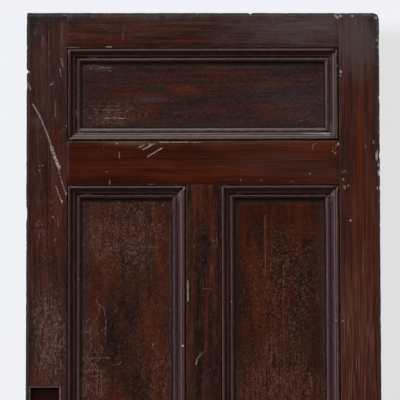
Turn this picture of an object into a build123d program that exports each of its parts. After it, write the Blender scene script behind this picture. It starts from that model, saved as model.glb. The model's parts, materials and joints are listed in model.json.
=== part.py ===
from build123d import *
import os
from typing import NamedTuple

# Panelled front door leaf: two stiles, four rails and two muntins joined by mortises and wedged tenons,
# five flat panels floating in grooves, and a mitred planted moulding round both faces of every panel.
# Lengths are millimetres and +Z is up. The leaf stands upright, centred on the origin at its bottom edge.
# Its street face looks towards -Y, the lock stile is at -X and the hinge stile at +X.

# Leaf
DOOR_WIDTH = 864.0
DOOR_HEIGHT = 2083.0
DOOR_THICKNESS = 44.0
ARRIS_RADIUS = 1.5
LOCK_CORNER_RADIUS = 2.0
HINGE_CORNER_RADIUS = 7.0

# Frame members, measured across the grain, and the openings that set where the rails stand
STILE_WIDTH = 98.0
MUNTIN_WIDTH = 84.0
TOP_RAIL_WIDTH = 84.0
FRIEZE_RAIL_WIDTH = 107.0
LOCK_RAIL_WIDTH = 190.0
BOTTOM_RAIL_WIDTH = 230.0
FRIEZE_OPENING_HEIGHT = 230.0
LOWER_OPENING_HEIGHT = 540.0

# Panels and the grooves they float in
PANEL_THICKNESS = 14.0
PANEL_CLEARANCE = 0.25
GROOVE_DEPTH = 12.0
SHRINKAGE_GAP = 2.0

# Mortise and tenon joints
TOP_HAUNCH_WIDTH = 28.0
BOTTOM_HAUNCH_WIDTH = 40.0
TWIN_TENON_WIDTH = 54.0
MUNTIN_TENON_LENGTH = 35.0
MORTISE_RELIEF = 1.5
WEDGE_LENGTH = 62.0
WEDGE_HEAD = 6.0
WEDGE_TIP = 1.0

# Moulding section: widths run from the frame towards the panel, heights stand on the panel's face
REVEAL_WIDTH = 1.5
REVEAL_DEPTH = 5.5
ROLL_WIDTH = 9.0
ROLL_PROUD = 0.3
HOLLOW_WIDTH = 7.0
HOLLOW_SAG = 1.1
FILLET_WIDTH = 2.5
FILLET_HEIGHT = 7.0
QUIRK_WIDTH = 3.5
QUIRK_HEIGHT = 3.8
BEAD_WIDTH = 9.5
BEAD_SAG = 3.0
TOE_WIDTH = 1.0
TOE_HEIGHT = 1.6

# Lock recess cut into the street face of the lock stile
RECESS_EDGE_MARGIN = 10.0
RECESS_WIDTH = 71.0
RECESS_HEIGHT = 108.0
RECESS_TOP = 1169.0
RECESS_DEPTH = 12.0
RECESS_CORNER_RADIUS = 3.0
RECESS_WORN_EDGE = 1.2

# Hinge gains cut into the edge of the hinge stile, open towards the hall face
HINGE_HEIGHT = 102.0
HINGE_LEAF_WIDTH = 35.0
HINGE_LEAF_THICKNESS = 3.2
TOP_HINGE_DROP = 150.0
BOTTOM_HINGE_RISE = 240.0
SCREW_RADIUS = 2.0
SCREW_DEPTH = 30.0
OUTER_SCREW_SPACING = 78.0
OUTER_SCREW_INSET = 24.0
INNER_SCREW_SPACING = 26.0
INNER_SCREW_INSET = 12.0

LOCK_SIDE = -1
HINGE_SIDE = 1

# Levels and widths worked out from the sizes above
GROOVE_WIDTH = PANEL_THICKNESS + 2 * PANEL_CLEARANCE
PANEL_TONGUE = GROOVE_DEPTH - SHRINKAGE_GAP
FACE_HEIGHT = (DOOR_THICKNESS - PANEL_THICKNESS) / 2
OPENING_WIDTH = DOOR_WIDTH - 2 * STILE_WIDTH
MUNTIN_TENON_WIDTH = MUNTIN_WIDTH - 2 * GROOVE_DEPTH
LOCK_RAIL_LOW = BOTTOM_RAIL_WIDTH + LOWER_OPENING_HEIGHT
LOCK_RAIL_HIGH = LOCK_RAIL_LOW + LOCK_RAIL_WIDTH
TOP_RAIL_LOW = DOOR_HEIGHT - TOP_RAIL_WIDTH
FRIEZE_RAIL_HIGH = TOP_RAIL_LOW - FRIEZE_OPENING_HEIGHT
FRIEZE_RAIL_LOW = FRIEZE_RAIL_HIGH - FRIEZE_RAIL_WIDTH
TOP_HINGE_CENTRE = DOOR_HEIGHT - TOP_HINGE_DROP - HINGE_HEIGHT / 2
BOTTOM_HINGE_CENTRE = BOTTOM_HINGE_RISE + HINGE_HEIGHT / 2
HINGE_CENTRES = (TOP_HINGE_CENTRE, (TOP_HINGE_CENTRE + BOTTOM_HINGE_CENTRE) / 2, BOTTOM_HINGE_CENTRE)


class Rail(NamedTuple):
    """A rail between the stiles: its edges, which of them hold panels or a muntin, and its through tenons."""
    label: str
    low: float
    high: float
    groove_below: float
    groove_above: float
    muntin_below: bool
    muntin_above: bool
    tenons: tuple


class Opening(NamedTuple):
    """An opening in the frame that one panel closes."""
    label: str
    left: float
    right: float
    low: float
    high: float


def single_tenon(low, high):
    return ((low, high),)


def twin_tenons(low, high):
    return ((low, low + TWIN_TENON_WIDTH), (high - TWIN_TENON_WIDTH, high))


RAILS = (
    Rail("top_rail", TOP_RAIL_LOW, DOOR_HEIGHT, GROOVE_DEPTH, 0, False, False,
         single_tenon(TOP_RAIL_LOW + GROOVE_DEPTH, DOOR_HEIGHT - TOP_HAUNCH_WIDTH)),
    Rail("frieze_rail", FRIEZE_RAIL_LOW, FRIEZE_RAIL_HIGH, GROOVE_DEPTH, GROOVE_DEPTH, True, False,
         single_tenon(FRIEZE_RAIL_LOW + GROOVE_DEPTH, FRIEZE_RAIL_HIGH - GROOVE_DEPTH)),
    Rail("lock_rail", LOCK_RAIL_LOW, LOCK_RAIL_HIGH, GROOVE_DEPTH, GROOVE_DEPTH, True, True,
         twin_tenons(LOCK_RAIL_LOW + GROOVE_DEPTH, LOCK_RAIL_HIGH - GROOVE_DEPTH)),
    Rail("bottom_rail", 0, BOTTOM_RAIL_WIDTH, 0, GROOVE_DEPTH, False, True,
         twin_tenons(BOTTOM_HAUNCH_WIDTH, BOTTOM_RAIL_WIDTH - GROOVE_DEPTH)),
)

MUNTINS = (
    ("upper_muntin", LOCK_RAIL_HIGH, FRIEZE_RAIL_LOW),
    ("lower_muntin", BOTTOM_RAIL_WIDTH, LOCK_RAIL_LOW),
)

OPENINGS = (
    Opening("frieze", -OPENING_WIDTH / 2, OPENING_WIDTH / 2, FRIEZE_RAIL_HIGH, TOP_RAIL_LOW),
    Opening("upper_lock", -OPENING_WIDTH / 2, -MUNTIN_WIDTH / 2, LOCK_RAIL_HIGH, FRIEZE_RAIL_LOW),
    Opening("upper_hinge", MUNTIN_WIDTH / 2, OPENING_WIDTH / 2, LOCK_RAIL_HIGH, FRIEZE_RAIL_LOW),
    Opening("lower_lock", -OPENING_WIDTH / 2, -MUNTIN_WIDTH / 2, BOTTOM_RAIL_WIDTH, LOCK_RAIL_LOW),
    Opening("lower_hinge", MUNTIN_WIDTH / 2, OPENING_WIDTH / 2, BOTTOM_RAIL_WIDTH, LOCK_RAIL_LOW),
)

FACE_NORMALS = {"front": Vector(0, -1, 0), "back": Vector(0, 1, 0)}
SIDE_INWARDS = {
    "top": Vector(0, 0, -1),
    "bottom": Vector(0, 0, 1),
    "lock_side": Vector(1, 0, 0),
    "hinge_side": Vector(-1, 0, 0),
}


def stile_edges(side):
    """X of a stile's outer edge, of its inner edge, and of the tips of its wedges."""
    outer = side * DOOR_WIDTH / 2
    return outer, outer - side * STILE_WIDTH, outer - side * WEDGE_LENGTH


def mortise_points(side, low, high):
    """Outline of a through mortise, flared towards the outer edge where the wedges go in."""
    outer, inner, tip = stile_edges(side)
    return (
        (inner, low), (tip, low), (tip, low - WEDGE_TIP), (outer, low - WEDGE_HEAD),
        (outer, high + WEDGE_HEAD), (tip, high + WEDGE_TIP), (tip, high), (inner, high),
    )


def wedge_points(side, tenon_edge, away):
    """Outline of a wedge driven in beside a tenon's edge, on the side that away gives, 1 above or -1 below."""
    outer, _, tip = stile_edges(side)
    return (
        (tip, tenon_edge), (tip, tenon_edge + away * WEDGE_TIP),
        (outer, tenon_edge + away * WEDGE_HEAD), (outer, tenon_edge),
    )


def stile_blank(side, corner_radius):
    """Face outline of a stile, with its outer top corner worn round."""
    outer, inner, _ = stile_edges(side)
    with BuildSketch(Plane.XZ) as outline:
        with Locations(((outer + inner) / 2, DOOR_HEIGHT / 2)):
            Rectangle(STILE_WIDTH, DOOR_HEIGHT)
        top_corners = outline.vertices().group_by(Axis.Y)[-1].sort_by(Axis.X)
        fillet(top_corners[0 if side == LOCK_SIDE else -1], corner_radius)
    return outline.sketch


def stile_joinery(side):
    """The panel groove along a stile's inner edge together with all its mortises."""
    _, inner, _ = stile_edges(side)
    with BuildSketch(Plane.XZ) as cuts:
        with Locations((inner + side * GROOVE_DEPTH / 2, DOOR_HEIGHT / 2)):
            Rectangle(GROOVE_DEPTH, DOOR_HEIGHT)
        for rail in RAILS:
            for low, high in rail.tenons:
                with BuildLine():
                    Polyline(*mortise_points(side, low, high), close=True)
                make_face()
    return cuts.sketch


def outer_arrises(shape, inner):
    """Edges of the two faces of a stile, apart from those along the inner edge."""
    rim = shape.faces().filter_by(Axis.Y).edges()
    return rim.filter_by(lambda edge: abs(edge.center().X - inner) > ARRIS_RADIUS)


def build_rail(rail):
    """A rail with its panel grooves, haunches, through tenons and muntin mortises."""
    middle = (rail.low + rail.high) / 2
    haunch_low = rail.low + rail.groove_below
    haunch_high = rail.high - rail.groove_above
    with BuildPart() as made:
        with BuildSketch(Plane.XZ):
            with Locations((0, middle)):
                Rectangle(OPENING_WIDTH, rail.high - rail.low)
        extrude(amount=DOOR_THICKNESS / 2, both=True)
        rim = made.edges().filter_by(Axis.X).group_by(Axis.Z)
        if not rail.groove_above:
            fillet(rim[-1], ARRIS_RADIUS)
        if not rail.groove_below:
            fillet(rim[0], ARRIS_RADIUS)
        with BuildSketch(Plane.XZ):
            with Locations((0, (haunch_low + haunch_high) / 2)):
                Rectangle(OPENING_WIDTH + 2 * GROOVE_DEPTH, haunch_high - haunch_low)
            for low, high in rail.tenons:
                with Locations((0, (low + high) / 2)):
                    Rectangle(DOOR_WIDTH, high - low)
        extrude(amount=GROOVE_WIDTH / 2, both=True)
        with BuildSketch(Plane.XZ) as cuts:
            if rail.groove_below:
                with Locations((0, rail.low)):
                    Rectangle(OPENING_WIDTH, rail.groove_below, align=(Align.CENTER, Align.MIN))
            if rail.groove_above:
                with Locations((0, rail.high)):
                    Rectangle(OPENING_WIDTH, rail.groove_above, align=(Align.CENTER, Align.MAX))
            if rail.muntin_below:
                with Locations((0, rail.low)):
                    Rectangle(MUNTIN_TENON_WIDTH, MUNTIN_TENON_LENGTH + MORTISE_RELIEF,
                              align=(Align.CENTER, Align.MIN))
            if rail.muntin_above:
                with Locations((0, rail.high)):
                    Rectangle(MUNTIN_TENON_WIDTH, MUNTIN_TENON_LENGTH + MORTISE_RELIEF,
                              align=(Align.CENTER, Align.MAX))
        extrude(amount=GROOVE_WIDTH / 2, both=True, mode=Mode.SUBTRACT)
    made.part.label = rail.label
    return made.part


def build_muntin(label, low, high):
    """A muntin grooved on both edges, with a stub tenon at each end."""
    middle = (low + high) / 2
    with BuildPart() as made:
        with BuildSketch(Plane.XZ):
            with Locations((0, middle)):
                Rectangle(MUNTIN_WIDTH, high - low)
        extrude(amount=DOOR_THICKNESS / 2, both=True)
        with BuildSketch(Plane.XZ):
            with Locations((0, middle)):
                Rectangle(MUNTIN_WIDTH, high - low)
                Rectangle(MUNTIN_TENON_WIDTH, high - low, mode=Mode.SUBTRACT)
        extrude(amount=GROOVE_WIDTH / 2, both=True, mode=Mode.SUBTRACT)
        with BuildSketch(Plane.XZ):
            with Locations((0, middle)):
                Rectangle(MUNTIN_TENON_WIDTH, high - low + 2 * MUNTIN_TENON_LENGTH)
        extrude(amount=GROOVE_WIDTH / 2, both=True)
    made.part.label = label
    return made.part


def build_panel(opening):
    """A flat panel whose edges stand in the grooves, with room to swell."""
    width = opening.right - opening.left + 2 * PANEL_TONGUE
    height = opening.high - opening.low + 2 * PANEL_TONGUE
    with BuildPart() as made:
        with BuildSketch(Plane.XZ):
            with Locations(((opening.left + opening.right) / 2, (opening.low + opening.high) / 2)):
                Rectangle(width, height)
        extrude(amount=PANEL_THICKNESS / 2, both=True)
    made.part.label = f"{opening.label}_panel"
    return made.part


def build_moulding(opening, face, side):
    """One mitred strip of the planted moulding, seated on the panel and against the frame."""
    normal = FACE_NORMALS[face]
    inward = SIDE_INWARDS[side]
    along = inward.cross(normal)
    width = opening.right - opening.left
    height = opening.high - opening.low
    length = height if along.X == 0 else width
    reach = width if along.X == 0 else height
    centre = Vector((opening.left + opening.right) / 2, 0, (opening.low + opening.high) / 2)
    start = centre - inward * (reach / 2) - along * (length / 2) + normal * (PANEL_THICKNESS / 2)
    end = start + along * length

    roll_start = REVEAL_WIDTH
    roll_end = roll_start + ROLL_WIDTH
    fillet_start = roll_end + HOLLOW_WIDTH
    fillet_end = fillet_start + FILLET_WIDTH
    bead_start = fillet_end + QUIRK_WIDTH
    bead_end = bead_start + BEAD_WIDTH
    toe_end = bead_end + TOE_WIDTH
    reveal_height = FACE_HEIGHT - REVEAL_DEPTH
    roll_height = FACE_HEIGHT + ROLL_PROUD - ROLL_WIDTH / 2

    with BuildPart() as made:
        with BuildSketch(Plane(origin=start, x_dir=inward, z_dir=along)):
            with BuildLine():
                Polyline((0, 0), (0, reveal_height), (roll_start, reveal_height), (roll_start, roll_height))
                CenterArc((roll_start + ROLL_WIDTH / 2, roll_height), ROLL_WIDTH / 2, 0, 180)
                SagittaArc((roll_end, roll_height), (fillet_start, FILLET_HEIGHT), -HOLLOW_SAG)
                Polyline((fillet_start, FILLET_HEIGHT), (fillet_end, FILLET_HEIGHT),
                         (fillet_end, QUIRK_HEIGHT), (bead_start, QUIRK_HEIGHT))
                SagittaArc((bead_start, QUIRK_HEIGHT), (bead_end, TOE_HEIGHT), BEAD_SAG)
                Polyline((bead_end, TOE_HEIGHT), (toe_end, TOE_HEIGHT), (toe_end, 0), (0, 0))
            make_face()
        extrude(amount=length)
        split(bisect_by=Plane(origin=start, z_dir=along - inward), keep=Keep.TOP)
        split(bisect_by=Plane(origin=end, z_dir=-along - inward), keep=Keep.TOP)
    made.part.label = f"{face}_{opening.label}_moulding_{side}"
    return made.part


def build_wedges(label, side):
    """The pairs of wedges that spread the tenons in one stile."""
    with BuildPart() as made:
        with BuildSketch(Plane.XZ):
            for rail in RAILS:
                for low, high in rail.tenons:
                    for tenon_edge, away in ((low, -1), (high, 1)):
                        with BuildLine():
                            Polyline(*wedge_points(side, tenon_edge, away), close=True)
                        make_face()
        extrude(amount=GROOVE_WIDTH / 2, both=True)
    made.part.label = label
    return made.part


lock_outer, lock_inner, _ = stile_edges(LOCK_SIDE)
recess_centre_x = lock_outer + RECESS_EDGE_MARGIN + RECESS_WIDTH / 2
recess_centre_z = RECESS_TOP - RECESS_HEIGHT / 2

with BuildPart() as lock_stile:
    extrude(stile_blank(LOCK_SIDE, LOCK_CORNER_RADIUS), amount=DOOR_THICKNESS / 2, both=True)
    fillet(outer_arrises(lock_stile, lock_inner), ARRIS_RADIUS)
    extrude(stile_joinery(LOCK_SIDE), amount=GROOVE_WIDTH / 2, both=True, mode=Mode.SUBTRACT)
    with BuildSketch(Plane.XZ.offset(DOOR_THICKNESS / 2)):
        with Locations((recess_centre_x, recess_centre_z)):
            RectangleRounded(RECESS_WIDTH, RECESS_HEIGHT, RECESS_CORNER_RADIUS)
    extrude(amount=-RECESS_DEPTH, mode=Mode.SUBTRACT)
    with BuildSketch(Plane.XZ.offset(DOOR_THICKNESS / 2)):
        with Locations((recess_centre_x, recess_centre_z)):
            RectangleRounded(RECESS_WIDTH, RECESS_HEIGHT, RECESS_CORNER_RADIUS)
            offset(amount=RECESS_WORN_EDGE)
    extrude(amount=-RECESS_WORN_EDGE, taper=45, mode=Mode.SUBTRACT)
lock_stile.part.label = "lock_stile"

hinge_outer, hinge_inner, _ = stile_edges(HINGE_SIDE)
gain_floor = hinge_outer - HINGE_LEAF_THICKNESS
hall_face = DOOR_THICKNESS / 2

with BuildPart() as hinge_stile:
    extrude(stile_blank(HINGE_SIDE, HINGE_CORNER_RADIUS), amount=DOOR_THICKNESS / 2, both=True)
    fillet(outer_arrises(hinge_stile, hinge_inner), ARRIS_RADIUS)
    extrude(stile_joinery(HINGE_SIDE), amount=GROOVE_WIDTH / 2, both=True, mode=Mode.SUBTRACT)
    with BuildSketch(Plane.YZ.offset(hinge_outer)):
        with Locations(*[(hall_face, centre) for centre in HINGE_CENTRES]):
            Rectangle(HINGE_LEAF_WIDTH, HINGE_HEIGHT, align=(Align.MAX, Align.CENTER))
    extrude(amount=-HINGE_LEAF_THICKNESS, mode=Mode.SUBTRACT)
    with Locations(Plane.YZ.offset(gain_floor)):
        for centre in HINGE_CENTRES:
            for inset, spacing in ((OUTER_SCREW_INSET, OUTER_SCREW_SPACING),
                                   (INNER_SCREW_INSET, INNER_SCREW_SPACING)):
                with Locations((hall_face - inset, centre - spacing / 2), (hall_face - inset, centre + spacing / 2)):
                    Hole(SCREW_RADIUS, depth=SCREW_DEPTH)
hinge_stile.part.label = "hinge_stile"

pieces = [lock_stile.part, hinge_stile.part]
pieces += [build_rail(rail) for rail in RAILS]
pieces += [build_muntin(*muntin) for muntin in MUNTINS]
pieces += [build_panel(opening) for opening in OPENINGS]
pieces += [build_moulding(opening, face, side)
           for opening in OPENINGS for face in FACE_NORMALS for side in SIDE_INWARDS]
pieces += [build_wedges("lock_stile_wedges", LOCK_SIDE), build_wedges("hinge_stile_wedges", HINGE_SIDE)]

os.makedirs("parts", exist_ok=True)
for piece in pieces:
    export_step(piece, f"parts/{piece.label}.step")
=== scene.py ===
import json
from math import cos, pi, radians

import bmesh
import bpy
from mathutils import Matrix, Vector, noise

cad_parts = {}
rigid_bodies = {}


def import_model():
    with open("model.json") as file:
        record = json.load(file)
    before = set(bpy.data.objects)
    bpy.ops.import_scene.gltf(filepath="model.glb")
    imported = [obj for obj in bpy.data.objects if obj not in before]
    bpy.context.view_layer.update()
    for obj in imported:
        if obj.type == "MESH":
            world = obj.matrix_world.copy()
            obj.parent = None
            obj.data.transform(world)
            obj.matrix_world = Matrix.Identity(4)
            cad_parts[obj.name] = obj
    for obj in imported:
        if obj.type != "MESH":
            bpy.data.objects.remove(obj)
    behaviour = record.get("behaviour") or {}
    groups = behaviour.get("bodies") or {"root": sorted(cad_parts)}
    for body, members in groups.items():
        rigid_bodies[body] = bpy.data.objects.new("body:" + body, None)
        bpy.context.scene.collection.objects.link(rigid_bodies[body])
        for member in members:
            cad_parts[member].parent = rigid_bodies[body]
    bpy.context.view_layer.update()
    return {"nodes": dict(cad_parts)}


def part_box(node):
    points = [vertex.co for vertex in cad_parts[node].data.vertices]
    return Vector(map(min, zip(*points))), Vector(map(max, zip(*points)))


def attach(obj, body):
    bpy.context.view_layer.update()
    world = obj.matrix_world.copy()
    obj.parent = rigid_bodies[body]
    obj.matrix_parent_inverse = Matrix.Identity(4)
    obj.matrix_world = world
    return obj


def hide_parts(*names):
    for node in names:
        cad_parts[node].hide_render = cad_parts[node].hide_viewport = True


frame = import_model()
nodes = frame["nodes"]

ORIGIN = (0.0, 0.0, 0.0)

# Sizes of the leaf in metres: x from lock edge to hinge edge, y from front to back, z up.
HALF_WIDTH = 0.432
HEIGHT = 2.083
FACE = 0.022
PANEL_FACE = 0.007
STILE_EDGE = 0.334
MUNTIN_EDGE = 0.042
OPENINGS = {
    "frieze": (-STILE_EDGE, STILE_EDGE, 1.769, 1.999),
    "upper_lock": (-STILE_EDGE, -MUNTIN_EDGE, 0.960, 1.662),
    "upper_hinge": (MUNTIN_EDGE, STILE_EDGE, 0.960, 1.662),
    "lower_lock": (-STILE_EDGE, -MUNTIN_EDGE, 0.230, 0.770),
    "lower_hinge": (MUNTIN_EDGE, STILE_EDGE, 0.230, 0.770),
}
MOULDING_WIDTH = 0.034
LOCK_RECESS = (-0.422, -0.351, 1.061, 1.169)

# How far the old outer edges stand past the solids, in metres: the top at its lock and its hinge end, and
# each side low down and at the top. A side's rise changes from RISE_START upwards.
TOP_RISE = (0.0032, 0.0016)
SIDE_RISE = {-1.0: (0.0015, 0.0014), 1.0: (0.0005, 0.0021)}
RISE_START = 1.1

# Wear in metres: the band that an outer edge is worn in, the rounding of the top corner at the hinge side and
# of the arrises, how far the edges are rubbed, and how far the faces are out of true.
EDGE_BAND = 0.007
CORNER_WEAR = 0.012
ARRIS_WIDTH = 0.0007
BROAD_RUB = 0.0008
FINE_RUB = 0.0010
MEMBER_WAVE = 0.00018
PANEL_WAVE = 0.00045
MOULDING_WAVE = 0.00022

# How closely the worn copies are merged and cut, in metres, and angles in degrees: up to which faces count as
# one, and past which an edge stays sharp. ARRIS_ANGLE is in radians.
MERGE_DISTANCE = 1e-6
MEMBER_PITCH = 0.028
EDGE_PITCH = 0.0045
EDGE_DEPTHS = (-0.016, -0.010, -0.004, 0.004, 0.012)
PANEL_PITCH_ACROSS = 0.024
PANEL_PITCH_UP = 0.030
MOULDING_PITCH = 0.016
FLAT_ANGLE = 0.2
SHARP_ANGLE = 18.0
MOULDING_SHARP_ANGLE = 32.0
ARRIS_ANGLE = 0.5

# Slack in metres when a corner is taken to lie on a place, on a face, in an edge's band or at the top, and
# the foot of a moulding that stays where it is.
PLACE_SLACK = 2e-5
FACE_SLACK = 1e-4
BAND_SLACK = 1e-5
TOP_SLACK = 0.001
MOULDING_FOOT = 0.0006

# The camera: where it stands, how it is turned, and its focal length in pixels of the 400 pixel picture.
EYE = Vector((-0.0189, -2.6, 1.5411))
TILT, TURN, LEAN = 0.03229, 0.00415, -0.00249
FOCAL = 1054.82
PICTURE = 400
SENSOR_WIDTH = 36.0
AIM = Matrix.Rotation(-TURN, 4, "Z") @ Matrix.Rotation(pi / 2 + TILT, 4, "X") @ Matrix.Rotation(LEAN, 4, "Z")


def on_front(column, row, depth=-FACE):
    """The point of the leaf's front that the camera sees at this pixel of the picture."""
    ray = AIM.to_3x3() @ Vector((column + 0.5 - PICTURE / 2, PICTURE / 2 - row - 0.5, -FOCAL))
    return EYE + ray * ((depth - EYE.y) / ray.y)


# Camera, floor and the light around the leaf.

def set_camera():
    bpy.ops.object.camera_add()
    camera = bpy.context.object
    camera.name = "camera"
    camera.data.sensor_width = SENSOR_WIDTH
    camera.data.lens = FOCAL * SENSOR_WIDTH / PICTURE
    camera.data.clip_end = 60.0
    camera.matrix_world = Matrix.Translation(EYE) @ AIM
    bpy.context.scene.camera = camera


class Wiring:
    """Adds nodes to one node tree and links whatever feeds them."""

    def __init__(self, tree):
        self.tree = tree
        tree.nodes.clear()

    def put(self, kind, feeds=None, **settings):
        node = self.tree.nodes.new(kind)
        for name, value in settings.items():
            setattr(node, name, value)
        for socket, value in (feeds or {}).items():
            if isinstance(value, bpy.types.NodeSocket):
                self.tree.links.new(value, node.inputs[socket])
            else:
                node.inputs[socket].default_value = value
        return node

    def sum(self, operation, *values, clamp=False):
        feeds = dict(enumerate(values))
        return self.put("ShaderNodeMath", feeds, operation=operation, use_clamp=clamp).outputs[0]

    def vector(self, operation, *values):
        node = self.put("ShaderNodeVectorMath", dict(enumerate(values)), operation=operation)
        return node.outputs["Value" if operation in ("LENGTH", "DOT_PRODUCT") else "Vector"]

    def ramp(self, value, low, high, start=0.0, end=1.0):
        feeds = {"Value": value, "From Min": low, "From Max": high, "To Min": start, "To Max": end}
        return self.put("ShaderNodeMapRange", feeds, interpolation_type="SMOOTHSTEP").outputs[0]

    def mix(self, amount, first, second, kind="MIX"):
        feeds = {0: amount, 6: first, 7: second}
        return self.put("ShaderNodeMix", feeds, data_type="RGBA", blend_type=kind).outputs[2]

    def noise(self, place, stretch, detail=2.0, roughness=0.5, distortion=0.0):
        scaled = self.vector("MULTIPLY", place, stretch)
        feeds = {"Vector": scaled, "Scale": 1.0, "Detail": detail, "Roughness": roughness,
                 "Distortion": distortion}
        return self.put("ShaderNodeTexNoise", feeds).outputs[0]

    def shared(self, group, **feeds):
        return self.put("ShaderNodeGroup", feeds, node_tree=group).outputs


SOFT_LIGHTS = (
    # where it shines from, inner and outer half angle in degrees, strength, colour
    ((-0.25, -0.60, 0.76), 14.0, 30.0, 5.0, (1.0, 0.985, 0.96)),
    ((-0.85, -0.45, 0.25), 14.0, 34.0, 3.8, (0.86, 0.90, 1.0)),
    ((0.25, 0.60, 0.76), 14.0, 30.0, 5.0, (1.0, 0.985, 0.96)),
    ((0.85, 0.45, 0.25), 14.0, 34.0, 3.8, (0.86, 0.90, 1.0)),
    ((0.0, 0.0, 1.0), 18.0, 46.0, 2.0, (0.96, 0.98, 1.0)),
)
AMBIENT = (0.10, 0.10, 0.105)

# The backdrop that the camera sees: pale, and greyer past these limits of a direction, beside the hinge edge,
# where a shadow of the leaf is painted on it.
BACKDROP = (0.872, 0.880, 0.920, 1.0)
BACKDROP_SHADE = (0.735, 0.735, 0.735, 1.0)
SHADE_ACROSS = (0.150, 0.166)
SHADE_UP = (0.200, 0.175)


def light_around():
    """Soft lights round the leaf as parts of the sky, so that they fall evenly on it, and a pale backdrop
    with a painted shadow of the leaf beside its hinge edge.
    """
    world = bpy.data.worlds.new("studio")
    bpy.context.scene.world = world
    world.use_nodes = True
    w = Wiring(world.node_tree)
    heading = w.put("ShaderNodeTexCoord").outputs["Generated"]
    x, _, z = w.put("ShaderNodeSeparateXYZ", {0: heading}).outputs
    glow = AMBIENT
    for way, inner, outer, strength, colour in SOFT_LIGHTS:
        facing = w.vector("DOT_PRODUCT", heading, tuple(Vector(way).normalized()))
        share = w.ramp(facing, cos(radians(outer)), cos(radians(inner)), 0.0, strength)
        lit = w.put("ShaderNodeVectorMath", {0: colour, 3: share}, operation="SCALE").outputs[0]
        glow = w.vector("ADD", glow, lit)
    around = w.put("ShaderNodeBackground", {0: glow, 1: 1.0}).outputs[0]
    shaded = w.sum("MULTIPLY", w.ramp(x, *SHADE_ACROSS), w.ramp(z, *SHADE_UP))
    backdrop = w.mix(shaded, BACKDROP, BACKDROP_SHADE)
    seen = w.put("ShaderNodeBackground", {0: backdrop, 1: 1.0}).outputs[0]
    camera_ray = w.put("ShaderNodeLightPath").outputs["Is Camera Ray"]
    both = w.put("ShaderNodeMixShader", {0: camera_ray, 1: around, 2: seen}).outputs[0]
    w.put("ShaderNodeOutputWorld", {0: both})


# The floor: its size in metres, the two tones of its paint, and the darker one that it lights the leaf with.
FLOOR_SIZE = 6.0
FLOOR_PAINT = ((0.46, 0.46, 0.47, 1.0), (0.50, 0.50, 0.50, 1.0))
FLOOR_BOUNCE = (0.06, 0.06, 0.06, 1.0)
FLOOR_ROUGHNESS = 0.8


def lay_floor():
    bpy.ops.object.select_all(action="DESELECT")
    bpy.ops.mesh.primitive_plane_add(size=FLOOR_SIZE, location=ORIGIN)
    floor = bpy.context.object
    floor.name = "floor"
    material = bpy.data.materials.new("floor_paint")
    material.use_nodes = True
    w = Wiring(material.node_tree)
    place = w.put("ShaderNodeTexCoord").outputs["Object"]
    paint = w.mix(w.noise(place, (3.0, 3.0, 3.0), 3.0), *FLOOR_PAINT)
    camera_ray = w.put("ShaderNodeLightPath").outputs["Is Camera Ray"]
    paint = w.mix(camera_ray, FLOOR_BOUNCE, paint)
    shader = w.put("ShaderNodeBsdfPrincipled", {"Base Color": paint, "Roughness": FLOOR_ROUGHNESS})
    w.put("ShaderNodeOutputMaterial", {0: shader.outputs[0]})
    floor.data.materials.append(material)


# Effects that several finishes share.

def group_of(name, takes, gives):
    """A node group with named inputs (name: default) and outputs, and its wiring."""
    tree = bpy.data.node_groups.new(name, "ShaderNodeTree")
    w = Wiring(tree)
    for socket, value in takes.items():
        kind = "NodeSocketVector" if isinstance(value, tuple) else "NodeSocketFloat"
        tree.interface.new_socket(name=socket, in_out="INPUT", socket_type=kind).default_value = value
    for socket in gives:
        tree.interface.new_socket(name=socket, in_out="OUTPUT", socket_type="NodeSocketFloat")
    return tree, w, w.put("NodeGroupInput").outputs


def wood_grain():
    """Broad figure, streaks, fine fibre and dark pores, running along Z of the place that is given."""
    tree, w, take = group_of("wood_grain", {"Place": ORIGIN}, ("Figure", "Streak", "Fibre", "Pores"))
    figure = w.noise(take["Place"], (26.0, 26.0, 1.5), 3.0, 0.55, 0.6)
    streak = w.noise(take["Place"], (105.0, 105.0, 2.4), 2.0, 0.6, 0.3)
    fibre = w.noise(take["Place"], (300.0, 300.0, 7.0), 2.0, 0.6)
    pores = w.ramp(w.noise(take["Place"], (800.0, 800.0, 45.0), 1.0), 0.58, 0.70)
    masks = [w.ramp(figure, 0.38, 0.62), w.ramp(streak, 0.38, 0.62), w.ramp(fibre, 0.37, 0.63), pores]
    w.put("NodeGroupOutput", dict(enumerate(masks)))
    return tree


def crazed_varnish():
    """Old varnish that has shrunk into islands: pale veins between them, and a tone for each island."""
    takes = {"Place": ORIGIN, "Cells": 105.0, "Width": 0.09}
    tree, w, take = group_of("crazed_varnish", takes, ("Veins", "Islands", "Relief"))
    drift = w.put("ShaderNodeTexNoise", {"Vector": take["Place"], "Scale": 120.0, "Detail": 2.0})
    drift = w.vector("SUBTRACT", drift.outputs["Color"], (0.5, 0.5, 0.5))
    drift = w.vector("MULTIPLY", drift, (0.012, 0.012, 0.012))
    place = w.vector("MULTIPLY", w.vector("ADD", take["Place"], drift), (1.0, 1.0, 0.75))
    cells = {"Vector": place, "Scale": take["Cells"]}
    gap = w.put("ShaderNodeTexVoronoi", cells, feature="DISTANCE_TO_EDGE").outputs["Distance"]
    island = w.put("ShaderNodeTexVoronoi", cells, feature="F1").outputs["Color"]
    broken = w.ramp(w.noise(take["Place"], (95.0, 95.0, 65.0), 2.0), 0.36, 0.60)
    veins = w.ramp(gap, w.sum("MULTIPLY", take["Width"], 0.3), take["Width"], 1.0, 0.0)
    veins = w.sum("MULTIPLY", veins, broken)
    island_tone = w.put("ShaderNodeSeparateColor", {0: island}).outputs[0]
    w.put("NodeGroupOutput", {0: veins, 1: island_tone, 2: w.ramp(gap, 0.0, 0.3)})
    return tree


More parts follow.
